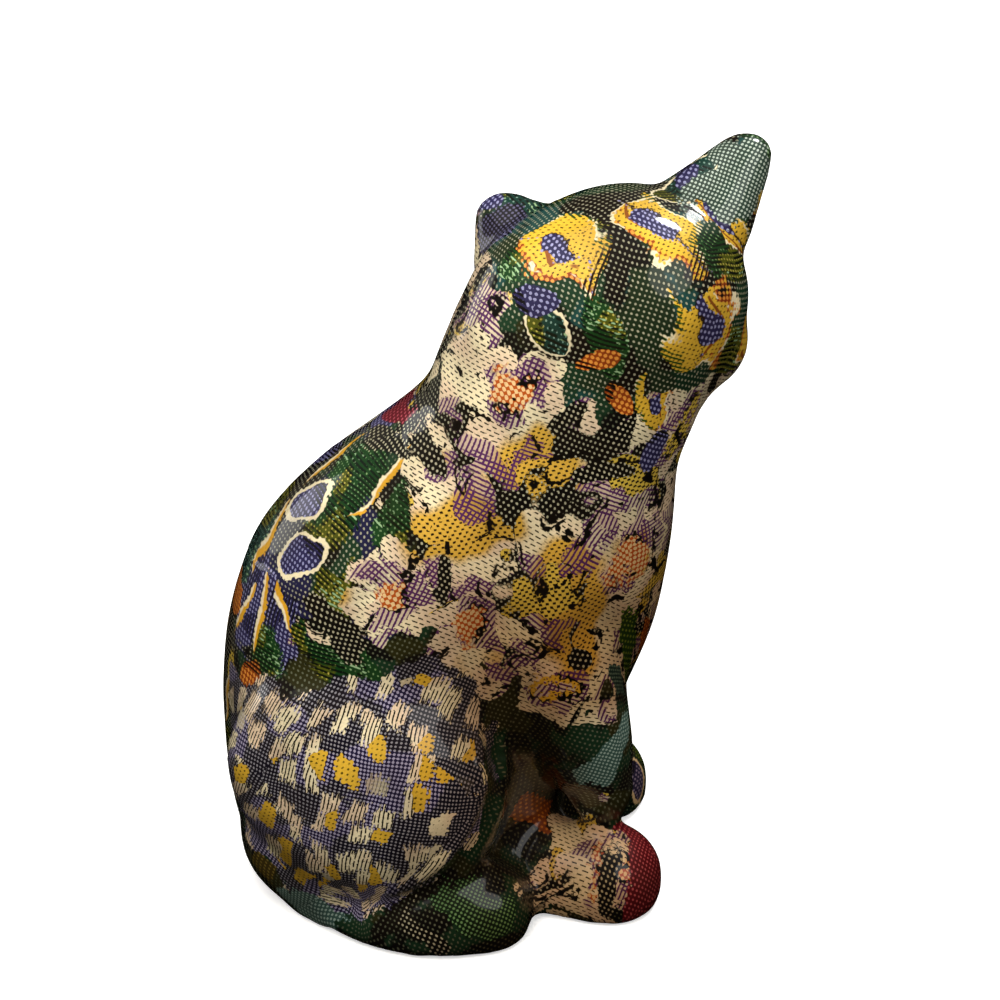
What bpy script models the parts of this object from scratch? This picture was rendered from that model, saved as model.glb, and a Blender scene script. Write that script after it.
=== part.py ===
"""Sitting cat figurine, cast in one piece.

The cat sits upright, faces -Y and turns its head to its own left (+X). The form is built up as a
modeller builds it in clay: rounded masses are laid along the spine and the limbs, fused into one
skin, and softened. Masses that are pressed on later are softened less, so their creases stay crisp.
The underside is cut flat at z = 0, and the origin is under the middle of the cat's box.
"""
import bpy
import bmesh
from math import radians
from mathutils import Matrix, Vector

MM = 0.001              # every size below is in millimetres

# The skin
TRIANGLES = 9400        # of the finished casting
SOLE_BLOCK = Vector((200, 200, 40))  # the block that cuts the underside flat
SOLE_FLATNESS = 0.05    # points of the skin lower than this are part of the sole
SLIVER = 0.1            # edges shorter than this beside a cut are closed up

# How the head is held
HEAD_CENTRE = Vector((2.0, -41.2, 142.0))
HEAD_TURN = 73.0        # degrees to the cat's own left
HEAD_NOD = 24.0         # degrees, chin down
HEAD_TILT = 17.0        # degrees, left ear down

# Limbs are stations along a middle line: x, y, z, radius across the cat, radius along it.
# A limb of a pair is built for the cat's left side, +X, and mirrored for its right.
BACK = ((0, 14, 26, 31, 39), (0, 11, 56, 32, 41), (0, 11, 79, 31, 31), (-1, -17, 106.5, 26.5, 27.5),
        (-3.5, -25, 126, 23, 27), (-3, -31, 142, 23, 26.5))
CHEST = ((0, -8, 40, 20, 30), (0, -16.5, 66, 25, 33.5), (0, -22, 88, 29, 32.5), (-1, -29.5, 112, 25, 25.5),
         (-4, -37, 130, 21, 24))
BELLY_WEB = ((0, -12, 5, 31, 17), (0, -10, 10, 24, 20), (0, -12, 22, 19, 18))
HAUNCH = ((23, 22, 41, 18, 28), (28.5, 12.5, 33.5, 17, 28))
SEAT = ((15, 26.5, 17, 19, 22), (19, 21, 12, 19, 19))
FRONT_LEG = ((16, -19, 86, 14, 16), (17, -31.3, 52, 11.5, 12.5), (16, -37.5, 26, 8, 8))
RIGHT_PAW = ((19, -28, 5, 13, 12.5), (21.5, -39, 5, 14, 13.5))
LEFT_PAW = ((18, -28, 4.5, 13, 12.5), (19.5, -40, 4.5, 14, 12.5))
HIND_FOOT = ((22, 28, 4, 10, 10), (31, 16, 4, 10, 10.5), (35, 3, 5.5, 11.5, 12), (33, -8.5, 5, 12.5, 12.5))
TAIL = ((12, 38, 9, 9, 9), (30, 35, 8, 9, 9), (40, 18, 7, 8.5, 8.5), (41, -4, 7, 8, 8), (35, -24, 7, 7.5, 7.5),
        (26, -37, 7, 6, 6))

# Head masses in the head's own frame, which faces -Y: centre, then radii.
SKULL = (((0, 3, 2), (29, 27, 26)), ((0, -8, -4), (24, 22, 19)))
CHEEK = ((12.5, -8, -9), (13.5, 14, 12.5))
MUZZLE = (((0, -23, -8), (14, 12, 10)), ((0, -26, 0), (5.5, 8.5, 8)), ((0, -27, -15), (7.5, 6.5, 5)))
WHISKER_PAD = ((5, -30, -9), (7.5, 7, 6))
NOSE = ((0, -36, -5), (4, 3.2, 2.8))
EYE = ((11.5, -22, 2.5), (6, 5.5, 4.6))
EAR_ROOT = ((17, 1, 14.5), (15, 9.5, 11))
EAR_TIP_RADII = (7, 5.3, 5.3)
RIGHT_EAR_TIP = (31.5, 0, 27.5)
LEFT_EAR_TIP = (22.5, 1, 25.5)
EAR_HOLLOW = (6.5, 5.5, 10)
EAR_HOLLOW_ALONG = 0.62  # of the way from root to tip
EAR_HOLLOW_AHEAD = 7.5   # in front of the ear's middle

CERAMIC = {"Base Color": (0.16, 0.15, 0.10, 1.0), "Roughness": 0.12, "Metallic": 0.0}


def smooth_path(stations, steps=6):
    """Stations along a smooth curve (Catmull-Rom) through the given ones, `steps` to each stretch."""
    points = [Vector(s) for s in stations]
    points = [points[0]] + points + [points[-1]]
    path = []
    for a, b, c, d in zip(points, points[1:], points[2:], points[3:]):
        for k in range(steps):
            t = k / steps
            bend = (2 * a - 5 * b + 4 * c - d) * t ** 2 + (3 * b - a - 3 * c + d) * t ** 3
            path.append(b + ((c - a) * t + bend) / 2)
    return path + [points[-1]]


def add_mass(clay, centre, radii, frame=Matrix()):
    """Adds one rounded mass, a sphere scaled to three radii."""
    size = Matrix.Diagonal((*(r * MM for r in radii), 1.0))
    place = frame @ Matrix.Translation(Vector(centre) * MM)
    bmesh.ops.create_icosphere(clay, subdivisions=3, radius=1.0, matrix=place @ size)


def add_limb(clay, stations, side=1):
    """Lays masses along a limb. Side -1 is the cat's right."""
    for x, y, z, across, along in smooth_path(stations):
        add_mass(clay, (x * side, y, z), (across, along, along))


def add_ear(clay, tip, side, frame, steps=8):
    """An ear: flattened masses that shrink from its broad root to its rounded tip."""
    root, root_radii = (Vector(v) for v in EAR_ROOT)
    for k in range(steps + 1):
        t = k / steps
        centre = root.lerp(Vector(tip), t)
        centre.x *= side
        add_mass(clay, centre, root_radii.lerp(Vector(EAR_TIP_RADII), t), frame)


def apply_modifiers(obj):
    depsgraph = bpy.context.evaluated_depsgraph_get()
    finished = bpy.data.meshes.new_from_object(obj.evaluated_get(depsgraph))
    obj.modifiers.clear()
    rough = obj.data
    obj.data = finished
    bpy.data.meshes.remove(rough)


def press_on(body, clay, voxel, rounds):
    """Presses new masses on to the body, fuses them into one skin and smooths it."""
    clay.from_mesh(body.data)
    clay.to_mesh(body.data)
    clay.free()
    fuse = body.modifiers.new("Fuse", "REMESH")
    fuse.mode = "VOXEL"
    fuse.voxel_size = voxel * MM
    soften = body.modifiers.new("Soften", "SMOOTH")
    soften.factor = 0.5
    soften.iterations = rounds
    apply_modifiers(body)


def shape_torso(body):
    clay = bmesh.new()
    for limb in (BACK, CHEST, BELLY_WEB):
        add_limb(clay, limb)
    press_on(body, clay, voxel=2.4, rounds=24)


def shape_skull(body, frame):
    clay = bmesh.new()
    for centre, radii in SKULL:
        add_mass(clay, centre, radii, frame)
    (x, y, z), radii = CHEEK
    for side in (1, -1):
        add_mass(clay, (x * side, y, z), radii, frame)
    press_on(body, clay, voxel=2.0, rounds=12)


def shape_limbs(body):
    clay = bmesh.new()
    for side in (1, -1):
        for limb in (HAUNCH, SEAT, FRONT_LEG):
            add_limb(clay, limb, side)
    press_on(body, clay, voxel=1.8, rounds=5)
    clay = bmesh.new()
    for side, paw in ((1, LEFT_PAW), (-1, RIGHT_PAW)):
        add_limb(clay, paw, side)
        add_limb(clay, HIND_FOOT, side)
    add_limb(clay, TAIL)
    press_on(body, clay, voxel=1.6, rounds=3)


def shape_face(body, frame):
    clay = bmesh.new()
    for centre, radii in (*MUZZLE, NOSE):
        add_mass(clay, centre, radii, frame)
    for side, tip in ((1, LEFT_EAR_TIP), (-1, RIGHT_EAR_TIP)):
        for (x, y, z), radii in (WHISKER_PAD, EYE):
            add_mass(clay, (x * side, y, z), radii, frame)
        add_ear(clay, tip, side, frame)
    press_on(body, clay, voxel=1.6, rounds=3)


def cut_away(body, name, clay):
    """Cuts the shape in `clay` out of the body and keeps it as a cutter object."""
    mesh = bpy.data.meshes.new(name)
    clay.to_mesh(mesh)
    clay.free()
    cutter = bpy.data.objects.new(name, mesh)
    cutters.objects.link(cutter)
    cutter.hide_render = True
    cutter.display_type = "WIRE"
    bpy.context.view_layer.update()
    cut = body.modifiers.new(name, "BOOLEAN")
    cut.operation = "DIFFERENCE"
    cut.object = cutter
    trim = body.modifiers.new("Trim slivers", "WELD")
    trim.merge_threshold = SLIVER * MM
    apply_modifiers(body)


def hollow_ears(body, frame):
    """Scoops out the front of each ear with an egg-shaped cutter that leans the way the ear does."""
    root = Vector(EAR_ROOT[0])
    for name, side, tip in (("left_ear_hollow", 1, LEFT_EAR_TIP), ("right_ear_hollow", -1, RIGHT_EAR_TIP)):
        centre = root.lerp(Vector(tip), EAR_HOLLOW_ALONG)
        lean = Vector(tip) - root
        centre.x *= side
        centre.y -= EAR_HOLLOW_AHEAD
        lean.x *= side
        place = frame @ Matrix.Translation(centre * MM) @ lean.to_track_quat("Z", "Y").to_matrix().to_4x4()
        clay = bmesh.new()
        add_mass(clay, (0, 0, 0), EAR_HOLLOW, place)
        cut_away(body, name, clay)


def cut_sole(body):
    """Cuts the underside flat at z = 0."""
    clay = bmesh.new()
    size = Matrix.Diagonal((*(SOLE_BLOCK * MM), 1.0))
    below = Matrix.Translation((0, 0, -SOLE_BLOCK.z * MM / 2))
    bmesh.ops.create_cube(clay, size=1.0, matrix=below @ size)
    cut_away(body, "sole_block", clay)


def thin_out(body, triangles):
    """Lowers the number of triangles and keeps the shape."""
    fewer = body.modifiers.new("Fewer triangles", "DECIMATE")
    fewer.ratio = triangles / sum(len(face.vertices) - 2 for face in body.data.polygons)
    fewer.use_collapse_triangulate = True
    apply_modifiers(body)


def set_on_origin(body):
    """Moves the body so that the middle of its box stands over the origin and its sole is exactly flat."""
    low, high = (Vector(pick(v.co[i] for v in body.data.vertices) for i in range(3)) for pick in (min, max))
    middle = (low + high) / 2
    body.data.transform(Matrix.Translation((-middle.x, -middle.y, -low.z)))
    for vertex in body.data.vertices:
        if vertex.co.z < SOLE_FLATNESS * MM:
            vertex.co.z = 0.0


for old in list(bpy.data.objects):
    bpy.data.objects.remove(old)
parts = bpy.data.collections.new("cat_figurine")
cutters = bpy.data.collections.new("cutters")
for collection in (parts, cutters):
    bpy.context.scene.collection.children.link(collection)

cat = bpy.data.objects.new("cat_figurine", bpy.data.meshes.new("cat_figurine"))
parts.objects.link(cat)
head = Matrix.Translation(HEAD_CENTRE * MM)
for angle, axis in ((HEAD_TURN, "Z"), (HEAD_NOD, "X"), (HEAD_TILT, "Y")):
    head = head @ Matrix.Rotation(radians(angle), 4, axis)
shape_torso(cat)
shape_skull(cat, head)
shape_limbs(cat)
shape_face(cat, head)
hollow_ears(cat, head)
cut_sole(cat)
thin_out(cat, TRIANGLES)
set_on_origin(cat)
cat.data.shade_smooth()

glaze = bpy.data.materials.new("varnished_ceramic")
glaze.use_nodes = True
for socket, value in CERAMIC.items():
    glaze.node_tree.nodes["Principled BSDF"].inputs[socket].default_value = value
cat.data.materials.clear()
cat.data.materials.append(glaze)
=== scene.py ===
# %% [markdown]
# # A decoupage ceramic cat
# The real ornament is a cast ceramic cat, covered with scraps of floral paper printed to look like
# painted canvas, under a thick clear varnish. This notebook refines the cast body's skin, lays the
# paper on it scrap by scrap, stamps flowers, leaves and petals over the body, and mixes one printed
# and varnished material for all of it.

# %% The fixed frame
from math import cos, pi, radians, sin, sqrt

import bmesh
import bpy
import numpy as np
from mathutils import Matrix, Vector


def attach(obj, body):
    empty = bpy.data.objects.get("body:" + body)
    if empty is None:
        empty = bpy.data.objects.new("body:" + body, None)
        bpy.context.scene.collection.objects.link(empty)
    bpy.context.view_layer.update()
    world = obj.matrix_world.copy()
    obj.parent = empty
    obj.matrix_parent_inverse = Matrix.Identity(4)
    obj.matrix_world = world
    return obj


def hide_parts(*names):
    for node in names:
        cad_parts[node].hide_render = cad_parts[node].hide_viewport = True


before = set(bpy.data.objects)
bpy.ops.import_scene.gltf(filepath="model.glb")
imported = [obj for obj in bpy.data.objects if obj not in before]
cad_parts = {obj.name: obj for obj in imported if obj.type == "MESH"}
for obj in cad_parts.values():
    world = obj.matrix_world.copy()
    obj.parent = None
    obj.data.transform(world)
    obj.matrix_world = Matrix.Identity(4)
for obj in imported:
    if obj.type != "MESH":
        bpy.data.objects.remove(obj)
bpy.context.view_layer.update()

MM = 0.001
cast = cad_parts["cat_figurine"]

# %% [markdown]
# ## The glazed skin
# The cast solid is made of a few thousand flat facets, but the real skin is smooth. A copy is merged,
# subdivided so the facets bend towards a round surface, and then rebuilt in even small cells. Even
# cells matter later, because every point of the skin carries its own place on the printed flowers.

# %% A smooth copy of the cast body
SKIN_CELL = 0.89  # mm, which keeps the skin under 200,000 triangles
SKIN_SMOOTHING = 7  # rounds


def apply_modifiers(obj):
    depsgraph = bpy.context.evaluated_depsgraph_get()
    finished = bpy.data.meshes.new_from_object(obj.evaluated_get(depsgraph))
    obj.modifiers.clear()
    obj.data = finished


def add_object(name, data):
    added = bpy.data.objects.new(name, data)
    bpy.context.scene.collection.objects.link(added)
    return added


def add_mesh(name, clay):
    """Adds the shape in `clay` to the scene as an object."""
    mesh = bpy.data.meshes.new(name)
    clay.to_mesh(mesh)
    clay.free()
    return add_object(name, mesh)


def smooth_copy(node, name):
    """Copies a cast node and turns its facets into an even, smooth skin."""
    clay = bmesh.new()
    clay.from_mesh(node.data)
    bmesh.ops.remove_doubles(clay, verts=clay.verts, dist=0.005 * MM)
    skin = add_mesh(name, clay)
    rounder = skin.modifiers.new("Rounder", "SUBSURF")
    rounder.levels = rounder.render_levels = 2
    even = skin.modifiers.new("Even cells", "REMESH")
    even.mode = "VOXEL"
    even.voxel_size = SKIN_CELL * MM
    soft = skin.modifiers.new("Soft", "SMOOTH")
    soft.factor = 0.5
    soft.iterations = SKIN_SMOOTHING
    apply_modifiers(skin)
    return skin


cat = smooth_copy(cast, "printed_cat")
print("skin:", len(cat.data.vertices), "points")

# %% [markdown]
# Numpy reads the points and their normals in one call each. All the places below are in
# millimetres, in the frame's own axes: the cat faces -Y and its right side is -X.

# %% The skin's points as arrays


def skin_points():
    count = len(cat.data.vertices)
    points = np.zeros(count * 3, np.float32)
    normals = np.zeros(count * 3, np.float32)
    cat.data.vertices.foreach_get("co", points)
    cat.data.vertex_normals.foreach_get("vector", normals)
    return points.reshape(-1, 3).astype(float) / MM, normals.reshape(-1, 3).astype(float)


def move_skin(points):
    cat.data.vertices.foreach_set("co", (points * MM).astype(np.float32).ravel())
    cat.data.update()


def length(vectors):
    return np.sqrt((vectors ** 2).sum(-1))


def bump(distance, radius):
    """1 at distance 0, falling smoothly to 0 at the radius."""
    t = np.clip(1 - (distance / radius) ** 2, 0, 1)
    return t * t * (3 - 2 * t)


points, normals = skin_points()
print("lowest point", points[:, 2].min().round(3), "highest", points[:, 2].max().round(2))

# %% [markdown]
# ## The face
# The head is turned to the cat's left. Its face is modelled in the head's own frame, where -Y is
# straight ahead: almond eyes with a lid round them, a short groove above the mouth and a mouth line.
# They are pushed in and out of the skin along its normals, as a thumb and a wire loop would do it.

# %% The head's own frame
HEAD_CENTRE = Vector((0.6, -30.8, 142.0))
HEAD_TURN = 73.0  # degrees to the cat's own left
HEAD_NOD = 24.0
HEAD_TILT = 17.0
head = Matrix.Translation(HEAD_CENTRE)
for angle, axis in ((HEAD_TURN, "Z"), (HEAD_NOD, "X"), (HEAD_TILT, "Y")):
    head = head @ Matrix.Rotation(radians(angle), 4, axis)


def in_head(places):
    to_head = np.array(head.inverted())
    return places @ to_head[:3, :3].T + to_head[:3, 3]


def in_world(place):
    return tuple(head @ Vector(place))


print("ear tips:", [in_world(tip) for tip in ((-31.5, 0, 27.5), (22.5, 1, 25.5))])

# %% Eyes, nose and mouth
EYE = (11.5, 2.5)  # beside and above the head's middle
EYE_SIZE = (5.2, 3.0)
EYE_SLANT = 0.25
LID_DEPTH, LID_RISE = 0.55, 0.35  # mm, the line round the eye and the roll outside it
MOUTH = (-11.5, 1.6, 7)  # its height, how much it curls, and half its width
MOUTH_DEPTH = 0.55
PHILTRUM_DEPTH = 0.4
FACE_FROM, MUZZLE_FROM = -14, -24  # how far ahead they start


def model_face(points, normals):
    x, y, z = in_head(points).T
    side = np.abs(x)
    across, up = side - EYE[0], z - EYE[1] - EYE_SLANT * (side - EYE[0])
    pinch = 1 + 0.25 * (across / EYE_SIZE[0]) ** 2
    lid = np.hypot(across / EYE_SIZE[0], up / EYE_SIZE[1] * pinch)
    push = LID_RISE * bump(np.abs(lid - 1.28), 0.2) - LID_DEPTH * bump(np.abs(lid - 1.0), 0.22)
    mouth_height, curl, half = MOUTH
    mouth = np.abs(z - mouth_height + curl * np.cos(np.clip(side, 0, half) * pi / half))
    push -= MOUTH_DEPTH * bump(mouth, 0.9) * (side < half + 0.5) * (y < MUZZLE_FROM)
    philtrum = (side < 0.9) * (z < -7) * (z > mouth_height - 1) * (y < MUZZLE_FROM - 2)
    push -= PHILTRUM_DEPTH * philtrum
    return points + normals * (push * (y < FACE_FROM))[:, None]


move_skin(model_face(points, normals))
points, normals = skin_points()

# %% [markdown]
# ## Creases and hollows
# The glaze pools in the hollows and thins over the edges, so the haunch has a crisp rim with a groove
# under it, the foreleg has an edge down its front, and a thumb-sized hollow sits inside each wrist.
# Each line is a smooth path laid on the skin, and the skin near it is pushed in or out.

# %% Lines pressed into the skin
HAUNCH_MIDDLE = np.array((30.0, 46.0))  # y and z
HAUNCH_RIM = ((-30, 3, 57), (-33, 0, 49), (-36, -1, 42), (-41, 3, 33), (-43, 9, 25), (-43, 17, 18),
              (-42, 26, 12.5))
FORELEG_EDGE = ((-25.5, -27, 66), (-26.5, -28.5, 54), (-25.6, -30, 42), (-25, -30.5, 31))
RECESS_EDGE = ((-26, -4, 47), (-27.5, -4.5, 39), (-27, -6, 30), (-24, -9, 22))
RIM = (0.55, 1.4, 2.4)  # how high, how far inside the haunch's path, and half how wide, in mm
GROOVE = (1.5, 1.9, 3.2)  # how deep, how far outside it, and half how wide
RIDGES = ((FORELEG_EDGE, 0.6), (RECESS_EDGE, 0.7))  # a path and its height
RIDGE_WIDTH = 2.6
WRIST_HOLLOW = ((23.5, -22.0, 28.0), 6.5, 1.6)  # middle, radius and depth


def along_path(points, path, steps=24):
    """Distance from a path, where along it the nearest place is (0 to 1), and that place."""
    path = np.array(path, float)
    ends = np.linspace(0, len(path) - 1, steps)
    knots = np.stack([np.interp(ends, np.arange(len(path)), column) for column in path.T], 1)
    away = np.stack([length(points - knot) for knot in knots])
    nearest = away.argmin(0)
    return away.min(0), nearest / (steps - 1), knots[nearest]


def mirrored(path):
    return [(-x, y, z) for x, y, z in path]


def fade_out(place):
    """1 along most of a path, falling to 0 over the last fifth at both ends."""
    return np.clip(np.minimum(place, 1 - place) * 5, 0, 1)


def press_creases(points, normals):
    push = np.zeros(len(points))
    rise, inside, rim_half = RIM
    depth, beyond, groove_half = GROOVE
    for path in (HAUNCH_RIM, mirrored(HAUNCH_RIM)):
        away, place, nearest = along_path(points, path)
        outside = length(points[:, 1:] - HAUNCH_MIDDLE) - length(nearest[:, 1:] - HAUNCH_MIDDLE)
        rim = rise * bump(np.abs(outside + inside), rim_half)
        groove = depth * bump(np.abs(outside - beyond), groove_half)
        push += fade_out(place) * (away < 8) * (rim - groove)
    for path, height in RIDGES:
        for side in (path, mirrored(path)):
            away, place, _ = along_path(points, side)
            push += height * bump(away, RIDGE_WIDTH) * fade_out(place)
    (x, y, z), radius, depth = WRIST_HOLLOW
    for side in (-1, 1):
        push -= depth * bump(length(points - np.array((side * x, y, z))), radius)
    return points + normals * push[:, None]


# %% A hand-cast skin is never quite even
def wavy(points, seed, waves=9, height=0.16):
    """Adds slow waves of the given height in mm, in random directions."""
    pick = np.random.default_rng(seed)
    push = np.zeros(len(points))
    for _ in range(waves):
        direction = pick.normal(size=3)
        direction *= 2 * pi / pick.uniform(14, 30) / length(direction)
        push += np.cos(points @ direction + pick.uniform(0, 2 * pi))
    return push * height / sqrt(waves)


points = press_creases(points, normals)
above_sole = np.clip(points[:, 2] / 4, 0, 1)
points += normals * (wavy(points, 5) * above_sole)[:, None]
move_skin(points)
points, normals = skin_points()
print("creases pressed; lowest point", points[:, 2].min().round(3))

# %% [markdown]
# ## The scraps of paper
# Paper doesn't follow a rounded body in one sheet, so it is torn into scraps. Every face of the skin
# belongs to the nearest of a few dozen scraps. A scrap is laid flat round its middle with distances
# kept true, which gives each face corner a place in millimetres on the printed sheet: u runs round
# the body and v up it. The sheet's canvas screen turns a little from scrap to scrap.

# %% Laying things flat on the skin
SHEET_UP = (0.0, -0.42, 0.9)  # the print leans forward with the cat's back


def laid_flat(points, centre, normal, along):
    """Coordinates round a centre with the distances from it kept, along one direction and across it."""
    offset = points - centre
    flat = offset - np.outer(offset @ normal, normal)
    stretch = length(offset) / np.maximum(length(flat), 1e-6)
    return flat @ along * stretch, flat @ np.cross(normal, along) * stretch


def direction_on(normal, angle, toward=SHEET_UP):
    """A direction in the surface: the given one laid into it and turned by an angle in degrees."""
    along = np.array(toward, float) - np.dot(toward, normal) * normal
    if length(along) < 0.2 * length(np.array(toward)):
        along = np.array((0, -1.0, 0)) + normal[1] * normal
    along /= length(along)
    turn = radians(angle)
    return along * cos(turn) + np.cross(normal, along) * sin(turn)


# %% Spreading scraps over the skin
SCRAPS = 46
TURN_WORTH = 20.0  # mm: how far apart two points with opposite normals are counted
SCRAP_TURN = 12.0  # degrees either way
FIRST_SCRAPS = ((-42, 28, 44), (42, 28, 44), (-29, -12, 92), (-22, -34, 152), (-16, 34, 100),
                in_world((-29, 5, 23)), in_world((21, 6, 20)), in_world((-29, -5, 23)),
                (-31, 9, 66), (-34, -28, 14), (-44, 4, 12))
HAUNCH_UP = (0.0, -0.2, 1.0)  # the first two scraps cover the haunches, and their print is upright
SCRAP_STEP = 0.16  # mm: how much higher one scrap may lie than another
draw = np.random.default_rng(11)


def nearest_point(place):
    return int(np.argmin(length(points - np.array(place))))


def spread_out(places, first, count):
    """Picks points far from each other, after a few given ones. Returns them and each point's owner."""
    chosen = []
    gap = np.full(len(places), np.inf)
    owner = np.zeros(len(places), int)
    for number in range(count):
        chosen.append(nearest_point(first[number]) if number < len(first) else int(np.argmax(gap)))
        away = length(places - places[chosen[-1]])
        owner[away < gap] = number
        gap = np.minimum(gap, away)
    return chosen, owner


scrap_points, scrap_of = spread_out(np.hstack((points, normals * TURN_WORTH)), FIRST_SCRAPS, SCRAPS)
print("scraps:", SCRAPS, "largest", np.bincount(scrap_of).max(), "points")


# %% The printed sheet's coordinates


def face_numbers(field, count, owner):
    values = np.zeros(count, np.int32)
    owner.foreach_get(field, values)
    return values


corner_point = face_numbers("vertex_index", len(cat.data.loops), cat.data.loops)
face_start = face_numbers("loop_start", len(cat.data.polygons), cat.data.polygons)
face_size = face_numbers("loop_total", len(cat.data.polygons), cat.data.polygons)
corner_scrap = np.repeat(scrap_of[corner_point[face_start]], face_size)

sheet = np.zeros((len(corner_point), 2))
for number, place in enumerate(scrap_points):
    mine = corner_scrap == number
    lean = HAUNCH_UP if number < 2 else SHEET_UP
    up = direction_on(normals[place], draw.uniform(-SCRAP_TURN, SCRAP_TURN) * (number > 1), lean)
    v, u = laid_flat(points[corner_point[mine]], points[place], normals[place], up)
    sheet[mine] = np.stack((-u, v), 1) + draw.uniform(-400, 400, 2)
step = draw.uniform(-SCRAP_STEP, SCRAP_STEP, SCRAPS)[scrap_of] * np.clip(points[:, 2] / 4, 0, 1)
move_skin(points + normals * step[:, None])
print_map = cat.data.uv_layers.new(name="print")
print_map.uv.foreach_set("vector", sheet.astype(np.float32).ravel())
print("sheet coordinates from", sheet.min(0).round(), "to", sheet.max(0).round())

# %% [markdown]
# ## Where each part of the print goes
# The print has broad areas: yellow petals on the head, cream blossoms on the neck and flanks, leaves
# and violets over the rump, woven bars on the haunches, and dark green round the feet. Each area is
# stored as a distance in millimetres from its edge, above 0 inside, so its edge can be torn later.

# %% Broad areas of the body
x, y, z = points.T
hx, _, hz = in_head(points).T


def store(name, kind, values, field="value"):
    layer = cat.data.attributes.new(name, kind, "POINT")
    layer.data.foreach_set(field, np.asarray(values, np.float32).ravel())


def ramp(values, start, end):
    """0 up to the start, 1 from the end on, and straight between them."""
    return np.clip((values - start) / (end - start), 0, 1)


def inside_all(*distances):
    return np.minimum.reduce(distances)


def near_any(*rounds):
    """Distance inside the nearest of a few balls, each a middle and a radius."""
    return np.maximum.reduce([radius - length(points - np.array(middle, float)) for middle, radius in rounds])


NECK_LINE = 131  # mm above the sole, like the next three
RUMP_HEIGHTS = (24, 119)
FLANK_LOW = 57
LOW_TOP = 56
RUMP_FROM = 20  # mm behind the middle
HAUNCH_RADIUS = 31.5
HAUNCH_FROM = 12  # mm beside the middle
EAR_FROM = (12, 15.5)  # mm beside and above the head's middle
PAW = ((-30, -24, 12), 13)

nape = -4 - y + (z - 150) * 0.5
head_area = inside_all(z - NECK_LINE, nape)
ear_area = inside_all(hz - EAR_FROM[1], np.abs(hx) - EAR_FROM[0])
above_haunch = z - HAUNCH_MIDDLE[1]
flatter = 0.25 * ramp(y, 18, 38) * (above_haunch < 0)
haunch_reach = np.hypot(y - HAUNCH_MIDDLE[0], above_haunch * (1 - flatter))
haunch_disc = inside_all(HAUNCH_RADIUS - haunch_reach, (np.abs(x) - HAUNCH_FROM) * 2)
haunch_area = inside_all(haunch_disc, 77 - z - y * 0.3)
rump_area = inside_all(y - RUMP_FROM, RUMP_HEIGHTS[1] - z, z - RUMP_HEIGHTS[0], -haunch_disc)
scallops = 4 * np.cos((y + 8) / 4.3)
flank_area = inside_all(z - FLANK_LOW - scallops, -head_area, -rump_area, -haunch_disc)
flank_area = np.maximum(flank_area, near_any(PAW))
low_area = inside_all(LOW_TOP - z, -haunch_area, -rump_area)
warm_area = near_any(((-28, 13, 101), 8), ((-27, -8, 118), 13), ((-29, -2, 106), 9), ((-30, -16, 88), 14),
                     ((-30, -18, 73), 9), ((-25, -34, 92), 8), ((28, -6, 112), 12), ((28, 12, 90), 10))
purple_area = near_any(((-24, 3, 119), 6), ((-27, 2, 108), 7), ((-27, -20, 112), 6), ((-20, -36, 105), 7),
                       ((-31, 17, 68), 8), ((-29, -4, 70), 7), ((-18, -4, 150), 8), ((-29, -23, 98), 9),
                       ((28, -15, 100), 8))
violet_area = near_any(((-18, 50, 75), 12), ((-8, 51, 84), 8))
areas = {"head": head_area, "haunch": haunch_area, "rump": rump_area, "flank": flank_area,
         "warm": warm_area, "purple": purple_area, "violet": violet_area}
for name, distance in areas.items():
    store(name + "_area", "FLOAT", distance)
    print(name, "area:", int((distance > 0).sum()), "points")

# %% [markdown]
# Painted shade: the colours turn darker and browner towards the bottom, at the front and on the flank
# in front of the haunch, down to the paws. The foreleg is mostly spared. How dark each point is
# gets stored on the skin, and the material multiplies its colours by it at the end.

# %% Where painted shade darkens the print
on_leg = ramp(y, -16, -24) * ramp(z, 20, 28) * ramp(z, 58, 50)
painted_shade = ramp(z, 112, 76) * ramp(y, 24, 0) * (1 - on_leg * 0.8)
store("painted_shade", "FLOAT", painted_shade)
print("well browned:", int((painted_shade > 0.5).sum()), "points")

# %% [markdown]
# ## Stamping motifs
# A motif is stamped on the skin like a rubber stamp: its middle is a point of the skin, it has a
# direction and a size, and all the points under it get their place on the stamp, in stamp lengths.
# The material draws the motif from that place, so its edge is sharp however coarse the skin is.
# Stamps of one layer never overlap, and later layers print over earlier ones.

# %% A layer of stamps
BORDER = 1.1  # a stamp's own ground reaches this far past the motif
edge_ends = face_numbers("vertices", len(cat.data.edges) * 2, cat.data.edges).reshape(-1, 2)


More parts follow.
